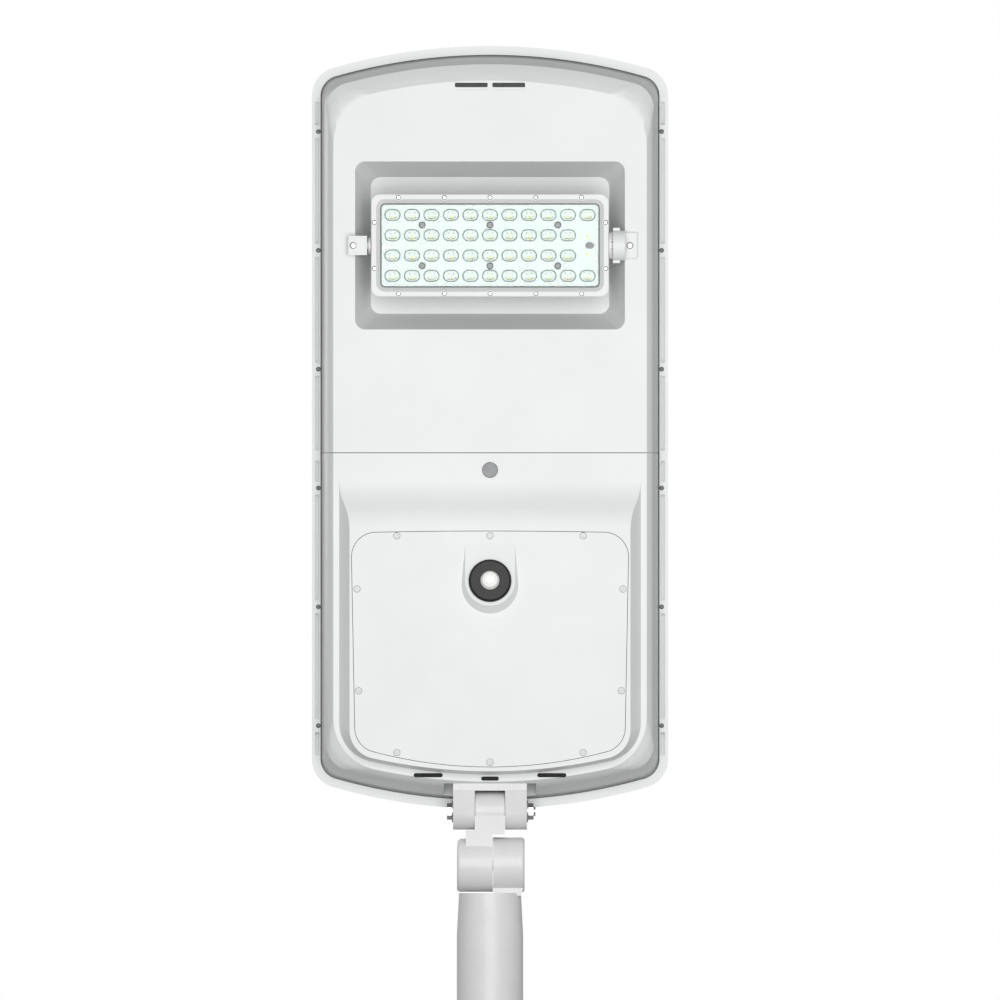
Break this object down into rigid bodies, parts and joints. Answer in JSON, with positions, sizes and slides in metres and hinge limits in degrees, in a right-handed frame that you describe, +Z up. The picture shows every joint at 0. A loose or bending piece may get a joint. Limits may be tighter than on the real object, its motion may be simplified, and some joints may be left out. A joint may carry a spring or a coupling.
{
  "type": "solar street lamp",
  "caption": "All-in-one solar street lamp: slim lamp body with a solar panel on top, tilting LED module, battery bay, motion sensor and hinged arm for a 60 mm pole.",
  "frame": {"origin": "middle of the mouth of the pole socket", "axes": "+Z is up, out of the solar panel; the LEDs face -Z; +Y runs out of the pole socket's mouth, so the lamp reaches along -Y; +X is to the right when looking along +Y"},
  "size_m": [0.392, 1.0908, 0.1155],
  "materials": {
    "white_abs": "UV-stable ABS/PC blend, moulded, fine satin texture, near white",
    "frame_coat": "extruded aluminium, near-white powder coat",
    "arm_coat": "die-cast aluminium, near-white powder coat",
    "panel_glass": "tempered low-iron solar glass, lightly textured",
    "silicon": "monocrystalline silicon cells under clear film",
    "backsheet": "white laminated backsheet",
    "seal_rubber": "black EPDM sponge",
    "vent_grey": "grey vent membrane carrier",
    "joiner_abs": "natural ABS, unseen",
    "sensor_black": "black ABS, semi-gloss",
    "dome_pe": "translucent white polyethylene lens",
    "board_green": "glass-epoxy circuit board",
    "button_rubber": "grey silicone-covered push button",
    "switch_abs": "white nylon switch housing",
    "bright_steel": "stainless steel, plain",
    "cell_wrap": "blue shrink-wrapped lithium cells",
    "holder_black": "black ABS cell holders and boxes",
    "sink_aluminium": "die-cast aluminium, white coated edge and bare fins",
    "lens_pc": "clear polycarbonate optics, faint green tint",
    "board_white": "aluminium-core board, white solder mask",
    "phosphor": "yellow LED phosphor in a white package",
    "pin_nylon": "white nylon locating pins"
  },
  "bodies": {
    "arm": {"arm_sleeve": "arm_coat", "pole_set_screws": "bright_steel", "set_screw_nuts": "bright_steel", "knuckle_bolt": "bright_steel", "knuckle_washer": "bright_steel", "knuckle_nut": "bright_steel"},
    "link": {"link_casting": "arm_coat"},
    "lamp": {"rim_bezel": "white_abs", "upper_shell": "white_abs", "lower_shell": "white_abs", "battery_cover": "white_abs", "left_clamp": "white_abs", "right_clamp": "white_abs", "panel_frame": "frame_coat", "pole_bracket": "arm_coat", "solar_glass": "panel_glass", "solar_cells": "silicon", "panel_backsheet": "backsheet", "panel_seal": "seal_rubber", "cover_seal": "seal_rubber", "drain_plugs": "seal_rubber", "cable_gland": "seal_rubber", "vent_louvres": "vent_grey", "seam_joiner": "joiner_abs", "board_rails": "joiner_abs", "board_pads": "joiner_abs", "controller_pillars": "joiner_abs", "sensor_ring": "sensor_black", "sensor_nut": "sensor_black", "sensor_dome": "dome_pe", "sensor_board": "board_green", "battery_board": "board_green", "controller_board": "board_green", "switch_housing": "switch_abs", "rim_screws": "bright_steel", "cover_screws": "bright_steel", "clamp_screws": "bright_steel", "bracket_bolts": "bright_steel", "backing_plate": "bright_steel", "hinge_bolt": "bright_steel", "hinge_nut": "bright_steel", "hinge_washers": "bright_steel", "button_spring": "bright_steel", "cell_links": "bright_steel", "battery_cells": "cell_wrap", "cell_holders": "holder_black", "charge_controller": "holder_black", "junction_box": "holder_black"},
    "led_module": {"module_frame": "white_abs", "lens_plate": "lens_pc", "led_board": "board_white", "led_chips": "phosphor", "locating_pins": "pin_nylon", "module_heatsink": "sink_aluminium", "module_seal": "seal_rubber", "left_trunnion": "arm_coat", "right_trunnion": "arm_coat", "module_screws": "bright_steel", "board_screws": "bright_steel"},
    "button": {"power_button": "button_rubber"}
  },
  "joints": [
    {"name": "knuckle_hinge", "type": "hinge", "parent": "arm", "child": "link", "pos_m": [0, -0.19, 0], "axis": [1, 0, 0], "range_deg": [-15, 90]},
    {"name": "bracket_hinge", "type": "hinge", "parent": "link", "child": "lamp", "pos_m": [0, -0.2489, 0], "axis": [1, 0, 0], "range_deg": [-20, 40]},
    {"name": "module_tilt", "type": "hinge", "parent": "lamp", "child": "led_module", "pos_m": [0, -0.8715, -0.026], "axis": [1, 0, 0], "range_deg": [-30, 30]},
    {"name": "button_press", "type": "slide", "parent": "lamp", "child": "button", "axis": [0, 0, 1], "range_m": [0, 0.0015], "stiffness_N_per_m": 600, "springref_m": -0.003, "deforming": ["button_spring"]}
  ]
}
